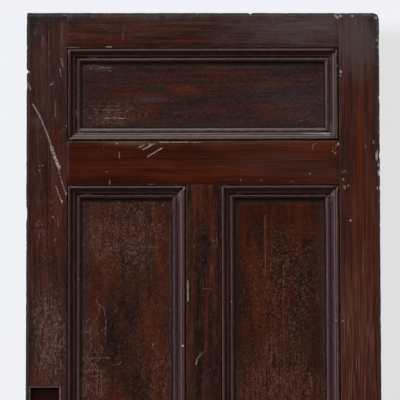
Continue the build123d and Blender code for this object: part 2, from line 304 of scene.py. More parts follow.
def scratch_line():
    """A scratch between two points; Rag makes its sides ragged and Gaps breaks it along its length."""
    takes = {"Place": ORIGIN, "From": ORIGIN, "To": (0.0, 0.0, 1.0), "Width": 0.002,
             "Rag": 0.0, "Gaps": 1.0, "Broken": 0.5}
    tree, w, take = group_of("scratch_line", takes, ("Mask",))
    run = w.vector("SUBTRACT", take["To"], take["From"])
    offset = w.vector("SUBTRACT", take["Place"], take["From"])
    reached = w.vector("DOT_PRODUCT", offset, run)
    share = w.sum("DIVIDE", reached, w.vector("DOT_PRODUCT", run, run), clamp=True)
    along = w.put("ShaderNodeVectorMath", {0: run, 3: share}, operation="SCALE").outputs[0]
    away = w.vector("LENGTH", w.vector("SUBTRACT", offset, along))
    away = w.sum("ADD", w.sum("DIVIDE", away, take["Width"]), take["Rag"])
    line = w.ramp(away, 0.30, 0.80, 1.0, 0.0)
    whole = w.sum("SUBTRACT", 1.0, take["Broken"])
    shown = w.sum("MULTIPLY_ADD", take["Gaps"], take["Broken"], whole)
    w.put("NodeGroupOutput", {0: w.sum("MULTIPLY", line, shown)})
    return tree


def rubbed_patch():
    """A soft patch round a centre; Rag makes its border ragged."""
    takes = {"Place": ORIGIN, "Centre": ORIGIN, "Reach": (0.01, 0.01, 0.01), "Rag": 0.0, "Core": 0.2}
    tree, w, take = group_of("rubbed_patch", takes, ("Mask",))
    offset = w.vector("SUBTRACT", take["Place"], take["Centre"])
    away = w.vector("LENGTH", w.vector("DIVIDE", offset, take["Reach"]))
    w.put("NodeGroupOutput", {0: w.ramp(w.sum("ADD", away, take["Rag"]), take["Core"], 1.0, 1.0, 0.0)})
    return tree


def leaf_distances():
    """How far a place is outside the nearest panel opening, and how far inside the leaf's outer edges."""
    tree, w, take = group_of("leaf_distances", {"Place": ORIGIN}, ("Opening", "Side", "Top"))
    flat = w.vector("MULTIPLY", take["Place"], (1.0, 0.0, 1.0))
    nearest = None
    for left, right, low, high in OPENINGS.values():
        distance = rectangle_distance(w, flat, left, right, low, high)
        nearest = distance if nearest is None else w.sum("MINIMUM", nearest, distance)
    x, _, z = w.put("ShaderNodeSeparateXYZ", {0: take["Place"]}).outputs
    side = w.sum("SUBTRACT", HALF_WIDTH, w.sum("ABSOLUTE", x))
    w.put("NodeGroupOutput", {0: nearest, 1: side, 2: w.sum("SUBTRACT", HEIGHT, z)})
    return tree


def rectangle_distance(w, flat, left, right, low, high):
    """How far a flat place is outside a rectangle, less than zero inside it."""
    centre = ((left + right) / 2, 0.0, (low + high) / 2)
    half = ((right - left) / 2, 1.0, (high - low) / 2)
    out = w.vector("SUBTRACT", w.vector("ABSOLUTE", w.vector("SUBTRACT", flat, centre)), half)
    beyond = w.vector("LENGTH", w.vector("MAXIMUM", out, (0.0, 0.0, 0.0)))
    across, _, up = w.put("ShaderNodeSeparateXYZ", {0: out}).outputs
    return w.sum("ADD", beyond, w.sum("MINIMUM", w.sum("MAXIMUM", across, up), 0.0))


WOOD_GRAIN = wood_grain()
CRAZED_VARNISH = crazed_varnish()
SCRATCH_LINE = scratch_line()
RUBBED_PATCH = rubbed_patch()
LEAF_DISTANCES = leaf_distances()


# Finishes. Colours are linear.

def tone(red, green, blue):
    return (red, green, blue, 1.0)


# The next colour is dark dirt, and it is also laid as painted shade in gaps, creases and under the mouldings.
DIRT_AND_SHADE = tone(0.0050, 0.0036, 0.0032)
BLUE_GREY = tone(0.043, 0.034, 0.036)
GREY_WEAR = tone(0.060, 0.048, 0.045)
# The next colour is a painted sheen: the pale haze of the bright room reflected in the varnish.
PAINTED_SHEEN = tone(0.070, 0.050, 0.050)
PALE = tone(0.36, 0.30, 0.28)
TAN = tone(0.28, 0.20, 0.14)
PINK = tone(0.46, 0.30, 0.27)
VEIN = tone(0.165, 0.092, 0.076)
TAN_VEIN = tone(0.170, 0.105, 0.082)
RED_CRACK = tone(0.160, 0.058, 0.036)
# The next colour is wear on the mouldings' rolls and a painted highlight along their crests.
ROLL_WEAR_AND_HIGHLIGHT = tone(0.082, 0.036, 0.029)
# The next colour is dust on the bottom mouldings and a painted highlight on their upward faces.
DUST_AND_HIGHLIGHT = tone(0.125, 0.112, 0.106)
DEEP_RED = tone(0.056, 0.0085, 0.0022)
ORANGE = tone(0.078, 0.0165, 0.0035)
DARK_BROWN = tone(0.015, 0.0062, 0.0045)
ARRIS_WEAR = tone(0.125, 0.092, 0.084)
EDGE_CHIPS = tone(0.21, 0.185, 0.17)

# A patch that reaches further than this, in millimetres, has a softer border.
BROAD_PATCH = 100

# How deep the bump of the varnish is, in metres, and how rough the worn outer edges are.
BUMP_DEPTH = 0.0006
EDGE_ROUGHNESS = 0.85


class Finish:
    """One piece's varnish, built up layer by layer as it has aged.

    Its grain runs along X or Z, the seed moves the grain, and the depth is where the piece's front lies in y.
    """

    def __init__(self, name, grain, seed, depth=-FACE):
        self.material = bpy.data.materials.new(name)
        self.material.use_nodes = True
        self.depth = depth
        self.w = w = Wiring(self.material.node_tree)
        self.place = w.put("ShaderNodeTexCoord").outputs["Object"]
        turn = (0.0, pi / 2, 0.0) if grain == "X" else (0.0, 0.0, 0.0)
        shift = (0.37 * seed, 0.53 * seed, 0.71 * seed)
        feeds = {"Vector": self.place, "Rotation": turn, "Location": shift}
        self.turned = w.put("ShaderNodeMapping", feeds).outputs[0]
        grain_out = w.shared(WOOD_GRAIN, Place=self.turned)
        self.figure, self.streak = grain_out["Figure"], grain_out["Streak"]
        self.fibre, self.pores = grain_out["Fibre"], grain_out["Pores"]
        self.distance = w.shared(LEAF_DISTANCES, Place=self.place)
        coarse = w.noise(self.place, (150.0, 150.0, 150.0), 3.0, 0.6)
        fine = w.noise(self.place, (560.0, 560.0, 560.0), 2.0, 0.6)
        self.coarse = w.sum("MULTIPLY_ADD", coarse, 2.0, -1.0)
        self.fine = w.sum("MULTIPLY_ADD", fine, 2.0, -1.0)
        self.gaps = w.ramp(w.noise(self.place, (240.0, 240.0, 240.0), 2.0), 0.38, 0.56)
        broad = w.noise(self.turned, (42.0, 42.0, 16.0), 4.0, 0.6, 0.4)
        self.border = w.sum("MULTIPLY_ADD", broad, 1.8, w.sum("MULTIPLY_ADD", self.coarse, 0.45, -0.9))
        self.soft_border = w.sum("MULTIPLY", self.border, 0.5)
        ridges = w.sum("MULTIPLY", self.fibre, 0.5)
        self.height = w.sum("SUBTRACT", ridges, w.sum("MULTIPLY", self.pores, 0.5))

    def lay(self, amount, colour):
        """Lays a colour over what is there."""
        self.colour = self.w.mix(amount, self.colour, colour)

    def wood(self, main, dark, warm, figure=0.75, streak=0.6, fibre=0.5):
        """The varnished wood itself: its three tones, and how much of each kind of grain shows."""
        w = self.w
        self.colour = w.mix(w.sum("MULTIPLY", self.figure, figure), main, dark)
        self.lay(w.ramp(w.noise(self.turned, (15.0, 15.0, 4.0), 3.0), 0.46, 0.62, 0.0, 0.9), warm)
        for lines, amount in ((self.streak, streak), (self.fibre, fibre)):
            shade = w.mix(w.sum("MULTIPLY", lines, amount), tone(1.28, 1.26, 1.24), tone(0.42, 0.40, 0.40))
            self.colour = w.mix(1.0, self.colour, shade, "MULTIPLY")
        self.lay(w.sum("MULTIPLY", self.pores, 0.45), DIRT_AND_SHADE)

    def tone_drifts(self, amount, colour=PAINTED_SHEEN, stretch=(30.0, 8.0), limits=(0.36, 0.66)):
        """Another tone in the varnish, in drifts along the grain. Unless another colour is given, the tone is
        a painted sheen: the pale haze of the bright room reflected in the varnish.
        """
        w = self.w
        drifts = w.ramp(w.noise(self.turned, (stretch[0], stretch[0], stretch[1]), 4.0, 0.6), *limits)
        self.lay(w.sum("MULTIPLY", drifts, self.through_grain(amount)), colour)

    def through_grain(self, amount, grain=0.4):
        """An amount that is less on the wood's fibres by the share that grain gives."""
        return self.w.sum("MULTIPLY_ADD", self.fibre, -grain * amount, amount)

    def patch(self, pixel, reach, amount, core=0.0, ragged=None):
        """A mask round a pixel of the photograph; the reach is in millimetres across and up."""
        w = self.w
        if ragged is None:
            ragged = self.soft_border if max(reach) > BROAD_PATCH else self.border
        mask = w.shared(RUBBED_PATCH, Place=self.place, Centre=tuple(on_front(*pixel, self.depth)),
                        Reach=(reach[0] / 1000, 0.02, reach[1] / 1000), Rag=ragged, Core=core)["Mask"]
        return w.sum("MULTIPLY", mask, amount)

    def area(self, amount, where):
        """An amount all over, more in the patches (pixel, reach, amount)."""
        for pixel, reach, strength in where:
            amount = self.w.sum("MAXIMUM", amount, self.patch(pixel, reach, strength, 0.3))
        return amount

    def tints(self, rows, grain=0.4):
        """Patches of another tone, less on the fibres: pixel, reach in millimetres, colour, amount."""
        for pixel, reach, colour, amount in rows:
            self.lay(self.patch(pixel, reach, self.through_grain(1.15 * amount, grain)), colour)

    def spots(self, chips):
        """Chips, nicks and other small marks, among them painted highlights, for each colour: pixel, reach in
        millimetres, amount.
        """
        ragged = self.w.sum("MULTIPLY", self.fine, 0.45)
        for colour, rows in chips.items():
            whole = 0.0
            for pixel, reach, amount in rows:
                whole = self.w.sum("MAXIMUM", whole, self.patch(pixel, reach, amount, 0.45, ragged))
            self.lay(whole, colour)

    def scratches(self, lines):
        """Scratches, for each colour: pixels they run through, width in millimetres, amount, broken share."""
        ragged = self.w.sum("MULTIPLY", self.fine, 0.5)
        for colour, rows in lines.items():
            whole = 0.0
            for points, width, amount, broken in rows:
                for start, end in zip(points, points[1:]):
                    line = self.scratch(start, end, width, broken, ragged)
                    whole = self.w.sum("MAXIMUM", whole, self.w.sum("MULTIPLY", line, amount))
            self.lay(whole, colour)

    def scratch(self, start, end, width, broken, ragged):
        """The mask of one straight length of a scratch."""
        return self.w.shared(SCRATCH_LINE, Place=self.place, From=tuple(on_front(*start, self.depth)),
                             To=tuple(on_front(*end, self.depth)), Width=width / 1000,
                             Rag=ragged, Gaps=self.gaps, Broken=broken)["Mask"]

    def crazing(self, cells, amount, where=(), width=0.10, colour=VEIN, shade=0.5):
        """Crazed varnish: pale veins round islands of different tones, more in the patches."""
        w = self.w
        mask = self.area(amount, where)
        crazed = w.shared(CRAZED_VARNISH, Place=self.place, Cells=cells, Width=width)
        self.lay(w.sum("MULTIPLY", w.sum("MULTIPLY", crazed["Islands"], mask), shade), DARK_BROWN)
        self.lay(w.sum("MULTIPLY", crazed["Veins"], mask), colour)
        self.height = w.sum("MULTIPLY_ADD", crazed["Relief"], w.sum("MULTIPLY", mask, 0.8), self.height)

    def dashes(self, amount, where=(), colour=VEIN, size=(380.0, 60.0), limit=0.58):
        """Short strokes along the grain where the varnish has lifted, more in the patches."""
        w = self.w
        strokes = w.ramp(w.noise(self.turned, (size[0], size[0], size[1]), 1.0), limit, limit + 0.08)
        self.lay(w.sum("MULTIPLY", strokes, self.area(amount, where)), colour)

    def worn_arris_and_gap_shade(self, amount=0.35):
        """Wear and dirt on the edges beside the mouldings, and painted shade down in the gap to the moulding.
        """
        w = self.w
        gap = self.distance["Opening"]
        broken = w.ramp(w.noise(self.place, (55.0, 55.0, 55.0), 4.0, 0.65), 0.40, 0.64)
        self.lay(w.sum("MULTIPLY", w.ramp(gap, 0.002, 0.010, 0.45, 0.0), broken), DARK_BROWN)
        line = w.ramp(gap, 0.0008, 0.0026, 1.0, 0.0)
        line = w.sum("MULTIPLY", line, w.sum("MULTIPLY_ADD", broken, 0.9, 0.1))
        self.lay(w.sum("MULTIPLY", line, amount), ARRIS_WEAR)
        # Painted shade on the member's side down in the gap to the moulding.
        self.lay(w.ramp(gap, -0.0008, 0.0, 1.0, 0.0), DIRT_AND_SHADE)

    def worn_edge(self, socket, reach, amount, colour, chips=0.6, shade=0.5):
        """Rubbing along an outer edge of the leaf; the reach is in millimetres."""
        w = self.w
        reach = reach / 1000
        ragged = w.noise(self.place, (70.0, 70.0, 35.0), 4.0, 0.65)
        ragged = w.sum("MULTIPLY_ADD", ragged, 3.0 * reach, -1.5 * reach)
        edge = self.distance[socket]
        self.lay(w.ramp(w.sum("ADD", edge, ragged), 0.5 * reach, 2.2 * reach, shade, 0.0), DARK_BROWN)
        self.lay(w.ramp(w.sum("ADD", edge, ragged), 0.0, 1.4 * reach, amount, 0.0), colour)
        bits = w.ramp(w.noise(self.place, (230.0, 230.0, 90.0), 3.0, 0.6), 0.58, 0.66)
        self.lay(w.sum("MULTIPLY", bits, w.ramp(edge, 0.0005, 0.0045, chips, 0.0)), EDGE_CHIPS)

    def done(self, roughness=0.24, specular=0.2, bump=0.14, grit=(420.0, 18.0, 0.6)):
        """Ends the material: fine grit (across and along the grain, amount), and dull, dark outer edges."""
        w = self.w
        across, along, amount = grit
        grains = w.ramp(w.noise(self.turned, (across, across, along), 2.0, 0.7), 0.3, 0.7)
        shade = w.mix(grains, tone(0.66, 0.64, 0.64), tone(1.30, 1.30, 1.30))
        self.colour = w.mix(amount, self.colour, shade, "MULTIPLY")
        relief = {"Strength": bump, "Distance": BUMP_DEPTH, "Height": self.height}
        normal = w.put("ShaderNodeBump", relief).outputs[0]
        edge = w.sum("MINIMUM", self.distance["Side"], self.distance["Top"])
        dull = w.ramp(edge, 0.001, 0.007, EDGE_ROUGHNESS, roughness)
        self.lay(w.ramp(edge, 0.0005, 0.005, 0.55, 0.0), DIRT_AND_SHADE)
        feeds = {"Base Color": self.colour, "Roughness": dull, "Specular IOR Level": specular,
                 "Normal": normal}
        shader = w.put("ShaderNodeBsdfPrincipled", feeds)
        w.put("ShaderNodeOutputMaterial", {0: shader.outputs[0]})
        return self.material


def lock_stile_varnish():
    f = Finish("lock_stile_varnish", "Z", 1.0)
    f.wood(tone(0.047, 0.0120, 0.0078), tone(0.024, 0.0085, 0.0062), tone(0.052, 0.0110, 0.0052),
           0.75, 0.75, 0.6)
    # A painted sheen in drifts: the haze of the room reflected in the varnish.
    f.tone_drifts(0.14)
    # The pale patches at pixels (48, 70) and (35, 121) are painted sheen.
    f.tints([
        ((48, 70), (110, 160), PAINTED_SHEEN, 0.14), ((35, 121), (20, 26), PAINTED_SHEEN, 0.50),
        ((56, 142), (22, 70), DEEP_RED, 0.5), ((46, 215), (60, 120), DEEP_RED, 0.15),
        ((48, 335), (60, 140), tone(0.078, 0.036, 0.028), 0.35), ((45, 262), (40, 40), DARK_BROWN, 0.3),
        ((29, 20), (75, 105), tone(0.017, 0.0148, 0.0152), 1.0),
        ((50, 12), (110, 48), tone(0.018, 0.0155, 0.0160), 1.0),
        ((34.8, 32), (5, 20), tone(0.070, 0.072, 0.066), 0.8),
    ])
    f.crazing(150.0, 0.05, [((46, 340), (85, 165), 0.55), ((39, 228), (20, 46), 0.35)], 0.10, VEIN, 0.9)
    f.dashes(0.10, [((46, 336), (85, 160), 0.6), ((39, 228), (16, 40), 0.6), ((53, 205), (20, 40), 0.35)],
             TAN_VEIN, (430.0, 130.0), 0.57)
    f.tints([((28, 352), (34, 180), tone(0.018, 0.0100, 0.0097), 0.9)])
    f.worn_arris_and_gap_shade()
    f.worn_edge("Side", 7.0, 0.9, BLUE_GREY)
    f.worn_edge("Top", 8.0, 0.95, GREY_WEAR)
    f.scratches({
        PALE: [
            ([(32.5, 104), (39, 115), (44, 127), (48, 137), (52, 150)], 3.4, 0.55, 0.6),
            ([(51, 147), (55.5, 160), (59, 167.5)], 6.2, 0.95, 0.85),
            ([(58, 169), (61.5, 182), (66, 194)], 2.2, 0.40, 0.9),
            ([(55.5, 186), (61.5, 202)], 3.0, 0.50, 0.9), ([(55, 101), (55, 116)], 2.2, 0.36, 0.7),
            ([(60.5, 58), (62.5, 66)], 2.8, 0.34, 0.6), ([(59.5, 68), (60.5, 76)], 2.6, 0.34, 0.6),
            ([(27.5, 82), (30, 89)], 2.6, 0.5, 0.4), ([(50, 84), (51.5, 84), (52.5, 81.5)], 1.8, 0.5, 0.4),
        ],
        VEIN: [
            ([(61.5, 22), (61.5, 41)], 1.6, 0.7, 0.4), ([(42.3, 36), (42.3, 45)], 1.6, 0.7, 0.4),
            ([(48.4, 30), (48.4, 54)], 1.7, 0.6, 0.5), ([(64, 128), (59, 133)], 1.3, 0.7, 0.5),
            ([(57.6, 217), (57.6, 226)], 2.4, 0.8, 0.6), ([(46, 262), (52, 256)], 1.3, 0.4, 0.6),
            ([(40, 253), (46, 260)], 1.3, 0.35, 0.7),
        ],
    })
    f.spots({
        PALE: [
            ((50.4, 84), (3.4, 2.2), 0.55), ((28.3, 71.5), (3.8, 3.6), 0.9),
            ((61.5, 182), (2.2, 3.0), 0.45), ((65.6, 193), (2.4, 4.2), 0.6),
            ((61.5, 200.7), (2.6, 4.2), 0.8), ((52.5, 216.5), (2.6, 2.6), 0.5),
            ((39, 165.6), (2.0, 3.4), 0.3), ((42, 165), (2.4, 2.4), 0.4), ((39, 170), (2.4, 3.0), 0.35),
            ((54.4, 239.4), (2.0, 3.6), 0.35), ((47.4, 255.4), (2.0, 2.0), 0.35),
            ((66, 125), (2.4, 4.0), 0.35), ((66.2, 263), (2.0, 4.0), 0.3), ((67, 18), (1.8, 5.0), 0.3),
            ((64, 14.6), (6.0, 2.0), 0.4),
        ],
    })
    recess_wear(f)
    return f.done()


def recess_wear(f):
    """A rubbed outline round the lock recess on the front, and the dark wood inside it."""
    w = f.w
    flat = w.vector("MULTIPLY", f.place, (1.0, 0.0, 1.0))
    rim = rectangle_distance(w, flat, *LOCK_RECESS)
    deep = w.put("ShaderNodeSeparateXYZ", {0: f.place}).outputs[1]
    front = w.ramp(deep, -0.012, -0.009, 1.0, 0.0)
    outline = w.ramp(rim, 0.0010, 0.0036, 0.85, 0.0)
    outline = w.sum("MULTIPLY", outline, w.sum("MULTIPLY_ADD", f.gaps, 0.6, 0.4))
    f.lay(w.sum("MULTIPLY", outline, front), tone(0.165, 0.155, 0.145))
    sunk = w.sum("MULTIPLY", w.ramp(rim, -0.0012, -0.0004, 1.0, 0.0), w.ramp(deep, -0.0213, -0.0205))
    f.lay(w.sum("MULTIPLY", sunk, w.ramp(deep, 0.0, 0.004, 1.0, 0.0)), tone(0.0170, 0.0030, 0.0020))


def hinge_stile_varnish():
    f = Finish("hinge_stile_varnish", "Z", 2.0)
    f.wood(tone(0.050, 0.0125, 0.0072), tone(0.026, 0.0078, 0.0052), tone(0.056, 0.0115, 0.0050),
           0.45, 0.5, 0.65)
    # A painted sheen in drifts, and a painted sheen over the top of the stile: the haze of the room reflected
    # in the varnish.
    f.tone_drifts(0.10)
    f.tints([((358, 36), (100, 150), tone(0.069, 0.0490, 0.0460), 0.85)], 0.15)
    f.tints([
        ((358, 165), (60, 150), DARK_BROWN, 0.35),
        ((359, 150), (15, 160), tone(0.094, 0.0140, 0.0030), 0.8),
        ((358, 320), (60, 220), tone(0.082, 0.027, 0.016), 0.45),
        ((376, 20), (40, 60), tone(0.020, 0.0185, 0.0205), 1.0),
        ((375, 40), (14, 90), tone(0.040, 0.037, 0.040), 0.7),
        ((357, 15), (70, 9), tone(0.044, 0.041, 0.043), 0.7), ((343, 150), (18, 110), DARK_BROWN, 0.8),
        ((372, 140), (16, 120), DARK_BROWN, 0.65),
    ])
    f.dashes(0.12, [((357, 335), (80, 280), 0.65)], tone(0.135, 0.064, 0.048), (700.0, 10.0), 0.55)
    f.worn_arris_and_gap_shade()
    f.worn_edge("Side", 6.0, 0.9, BLUE_GREY, 0.8)
    f.worn_edge("Top", 10.0, 0.9, tone(0.062, 0.057, 0.060), 0.6, 0.2)
    f.spots({
        PALE: [
            ((340.2, 71.3), (2.6, 4.6), 0.95), ((340, 75), (2.0, 3.2), 0.45),
            ((376.2, 155.5), (3.2, 13.0), 0.95), ((378.3, 172), (3.4, 9.0), 0.9),
            ((376.8, 187.5), (2.4, 5.0), 0.6), ((343, 178.8), (2.6, 3.8), 0.5),
            ((342, 171.5), (1.6, 5.0), 0.25), ((340, 15.5), (4.0, 4.6), 0.75),
            ((363.5, 14), (2.6, 1.8), 0.7), ((366, 14.2), (2.6, 1.8), 0.6),
            ((368.4, 13.8), (2.2, 1.8), 0.6), ((376.9, 151.5), (1.8, 6.0), 0.7),
            ((376, 39.7), (2.6, 4.4), 0.6), ((377.4, 47), (2.6, 5.4), 0.7), ((378, 64), (2.4, 4.4), 0.6),
            ((378.2, 97), (3.0, 5.4), 0.7), ((378.5, 118), (2.4, 5.0), 0.6),
            ((378.4, 131), (2.6, 4.4), 0.6), ((378.2, 164.5), (3.0, 5.0), 0.8),
            ((378.9, 200), (2.4, 5.4), 0.5), ((379.2, 224), (2.4, 4.4), 0.5),
            ((351.7, 15.5), (4.2, 3.4), 0.7), ((377.6, 36), (1.8, 4.0), 0.5),
        ],
        PINK: [
            ((373, 141.6), (1.6, 6.0), 0.5), ((342.4, 320.4), (2.4, 2.2), 0.4),
            ((350, 220), (4.0, 3.4), 0.55),
        ],
        TAN: [
            ((344.2, 186.6), (4.2, 6.0), 0.5), ((347.8, 185.2), (2.6, 4.4), 0.6),
            ((375.6, 17.3), (6.0, 4.2), 0.85), ((377.5, 21), (2.6, 7.0), 0.75),
            ((377.8, 28), (3.2, 6.0), 0.85), ((365, 146), (1.4, 5.0), 0.5),
        ],
        VEIN: [((344.4, 170.7), (5.0, 3.6), 0.6)],
    })
    return f.done()


def top_rail_varnish():
    f = Finish("top_rail_varnish", "X", 3.0)
    f.wood(tone(0.039, 0.0100, 0.0060), tone(0.021, 0.0074, 0.0052), tone(0.046, 0.0098, 0.0040))
    # A painted sheen in drifts and over the rail's hinge end: the haze of the room reflected in the varnish.
    f.tone_drifts(0.22)
    f.tints([((305, 26), (270, 75), tone(0.066, 0.0480, 0.0470), 0.85)], 0.15)
    # The pale band at pixel (170, 20) is painted sheen.
    f.tints([
        ((170, 20), (260, 18), PAINTED_SHEEN, 0.30), ((110, 40), (120, 22), DEEP_RED, 0.5),
        ((74, 16), (60, 32), tone(0.022, 0.0180, 0.0180), 0.8),
    ])
    f.dashes(0.10)
    f.worn_arris_and_gap_shade()
    f.worn_edge("Top", 11.0, 0.85, tone(0.064, 0.052, 0.049), 0.6, 0.1)
    f.worn_edge("Side", 1.5, 0.5, BLUE_GREY)
    f.scratches({
        PALE: [([(67, 47.3), (78, 47.3)], 2.2, 0.75, 0.5), ([(106, 46.5), (110.5, 46.5)], 2.6, 0.6, 0.4)],
        VEIN: [
            ([(122.5, 32), (122.5, 40)], 1.4, 0.7, 0.4), ([(124, 25), (124, 29)], 1.4, 0.7, 0.4),
            ([(107, 30.5), (134, 30.5)], 1.0, 0.5, 0.6),
        ],
    })
    f.spots({
        PALE: [
            ((335, 15.3), (4.0, 4.4), 0.8), ((337.5, 16.8), (5.0, 5.4), 0.85),
            ((339.2, 14.8), (4.0, 4.0), 0.7), ((250, 14), (4.0, 2.6), 0.35),
            ((110.3, 46.3), (2.2, 2.4), 0.7),
        ],
    })
    return f.done()


def frieze_rail_varnish():
    f = Finish("frieze_rail_varnish", "X", 4.0)
    f.wood(tone(0.048, 0.0072, 0.0010), tone(0.025, 0.0042, 0.0010), tone(0.057, 0.0076, 0.0004),
           0.75, 0.5, 0.6)
    # A little painted sheen in drifts: the haze of the room reflected in the varnish.
    f.tone_drifts(0.03)
    f.tints([
        ((285, 163), (260, 70), tone(0.042, 0.0165, 0.0120), 0.7),
        ((325, 172), (70, 40), tone(0.032, 0.0180, 0.0150), 0.5), ((262, 148), (90, 6), DARK_BROWN, 0.6),
        ((236, 172), (70, 9), tone(0.066, 0.0125, 0.0040), 0.6),
        ((300, 158), (60, 6), tone(0.058, 0.0200, 0.0140), 0.55), ((292, 170), (60, 5), DARK_BROWN, 0.5),
        ((110, 165), (120, 50), DEEP_RED, 0.3), ((200, 150), (60, 20), DARK_BROWN, 0.45),
        ((334, 160), (34, 24), DARK_BROWN, 0.45), ((334, 151), (9, 12), tone(0.075, 0.038, 0.028), 0.7),
        ((190, 176), (130, 10), ORANGE, 0.35),
    ])
    f.worn_arris_and_gap_shade(0.25)
    f.worn_edge("Side", 1.5, 0.5, BLUE_GREY)
    f.scratches({
        PALE: [
            ([(142.3, 149), (148, 146.2), (153.4, 143.2)], 2.3, 0.8, 0.6),
            ([(147.4, 156), (154, 152), (161.5, 147.6)], 2.1, 0.85, 0.4),
            ([(139, 147), (143, 144)], 4.5, 0.45, 0.95), ([(118.8, 152), (118.8, 157)], 2.2, 0.42, 0.5),
            ([(158, 141.6), (202, 141.8)], 1.8, 0.7, 0.85), ([(174, 141.7), (188, 141.7)], 2.0, 0.6, 0.5),
            ([(109.3, 179.6), (109, 183.6)], 2.6, 0.5, 0.5), ([(148, 184), (153, 184)], 2.2, 0.4, 0.4),
        ],
        VEIN: [([(312, 148.5), (312.5, 144), (315.5, 143)], 1.8, 0.8, 0.3)],
    })
    f.spots({
        PALE: [
            ((116.3, 143.2), (2.6, 2.4), 0.7), ((106.4, 171.3), (2.4, 2.0), 0.4),
            ((103, 146.5), (1.6, 3.0), 0.2), ((337.7, 143.6), (2.8, 3.0), 1.0),
            ((309.3, 173), (2.4, 2.4), 0.5), ((291.4, 181), (2.2, 2.2), 0.4),
            ((240, 179.5), (2.0, 3.4), 0.4), ((261, 180), (2.2, 2.0), 0.4),
            ((149.5, 143.6), (4.0, 1.8), 0.7),
        ],
        PINK: [
            ((335.6, 145.2), (2.0, 2.6), 0.35), ((332.4, 147.2), (1.8, 2.4), 0.25),
            ((335, 148), (2.0, 2.0), 0.25), ((332.1, 151), (2.2, 2.8), 0.35),
            ((335, 152.6), (2.6, 2.6), 0.4),
        ],
    })
    return f.done()


def plain_rail_varnish(name, seed):
    f = Finish(name, "X", seed)
    f.wood(tone(0.050, 0.0125, 0.0072), tone(0.026, 0.0080, 0.0055), tone(0.056, 0.0110, 0.0042))
    # A painted sheen in drifts: the haze of the room reflected in the varnish.
    f.tone_drifts(0.14)
    f.crazing(150.0, 0.12)
    f.dashes(0.10)
    f.worn_arris_and_gap_shade()
    f.worn_edge("Side", 1.5, 0.5, BLUE_GREY)
    return f.done()


def muntin_varnish(name, seed):
    f = Finish(name, "Z", seed)
    f.wood(tone(0.046, 0.0106, 0.0054), tone(0.022, 0.0064, 0.0042), tone(0.054, 0.0106, 0.0036),
           0.8, 0.9, 0.75)
    # A little painted sheen in drifts: the haze of the room reflected in the varnish.
    f.tone_drifts(0.07)
    f.tone_drifts(0.7, DARK_BROWN, (30.0, 9.0), (0.46, 0.70))
    # The pale streaks at pixels (191, 335) and (189, 215) are painted sheen.
    f.tints([
        ((205, 380), (90, 170), DARK_BROWN, 0.45), ((204, 252), (30, 70), tone(0.010, 0.0055, 0.0048), 0.7),
        ((191, 335), (7, 22), PAINTED_SHEEN, 0.40), ((189, 215), (6, 60), PAINTED_SHEEN, 0.25),
        ((211, 275), (7, 34), ORANGE, 0.3), ((193, 205), (6, 40), ORANGE, 0.2),
    ])
    f.crazing(140.0, 0.08, [((214, 242), (12, 18), 0.6)])
    f.dashes(0.12)
    f.worn_arris_and_gap_shade()
    f.scratches({
        PALE: [
            ([(187.5, 280), (187.4, 301)], 2.2, 0.75, 0.6),
            ([(195.4, 363.5), (196.4, 359.5)], 3.0, 0.5, 0.4),
            ([(197.5, 357.5), (200, 354)], 2.6, 0.45, 0.4),
        ],
        VEIN: [([(200, 354), (205.5, 350)], 1.3, 0.5, 0.3), ([(215, 225), (217, 246)], 2.2, 0.5, 0.95)],
        RED_CRACK: [
            ([(202, 288), (212, 288.6)], 1.6, 0.8, 0.4),
            ([(209, 262), (211, 268), (209.5, 274)], 1.6, 0.7, 0.6),
            ([(212, 268), (210.5, 282)], 1.6, 0.5, 0.8),
        ],
    })
    f.spots({
        DIRT_AND_SHADE: [((204.6, 238), (11, 13), 0.75), ((204.2, 260), (8, 12), 0.85), ((209, 243), (6, 8), 0.5)],
        # Painted highlights round the burns.
        PAINTED_SHEEN: [
            ((193.3, 245.8), (3.4, 3.0), 0.8), ((214.4, 245), (4.0, 3.6), 0.7),
            ((203, 232), (3.0, 2.6), 0.6), ((203, 259.2), (2.6, 2.8), 0.8),
            ((209.3, 369.5), (3.0, 3.6), 0.7),
        ],
        PALE: [((187.3, 299), (2.2, 3.0), 0.8)],
    })
    return f.done()


def panel_finish(name, grain, seed, opening, *tones):
    """Varnish of a panel, with the dull rim beside its mouldings."""
    f = Finish(name, grain, seed, -PANEL_FACE)
    f.wood(*tones, 0.8, 0.42, 0.42)
    w = f.w
    f.toe = w.sum("SUBTRACT", w.sum("MULTIPLY", f.distance["Opening"], -1.0), MOULDING_WIDTH)
    z = w.put("ShaderNodeSeparateXYZ", {0: f.place}).outputs[2]
    f.drop = w.sum("SUBTRACT", OPENINGS[opening][3] - MOULDING_WIDTH, z)
    rim = w.sum("ADD", f.toe, w.sum("MULTIPLY", f.coarse, 0.010))
    f.lay(w.ramp(rim, 0.004, 0.024, 0.40, 0.0), tone(0.032, 0.025, 0.022))
    return f


def panel_done(f):
    """Painted shadow on the panel below the top moulding, and dirt with painted shade in the corner beside
    every moulding.
    """
    w = f.w
    # Painted shadow cast by the top moulding onto the panel.
    f.lay(w.ramp(f.drop, 0.004, 0.011, 0.72, 0.0), DIRT_AND_SHADE)
    # Dirt and painted shade in the corner at the mouldings' toe.
    f.lay(w.ramp(f.toe, 0.0002, 0.0034, 0.85, 0.0), DIRT_AND_SHADE)
    return f.done(0.24, 0.12, grit=(340.0, 150.0, 0.9))


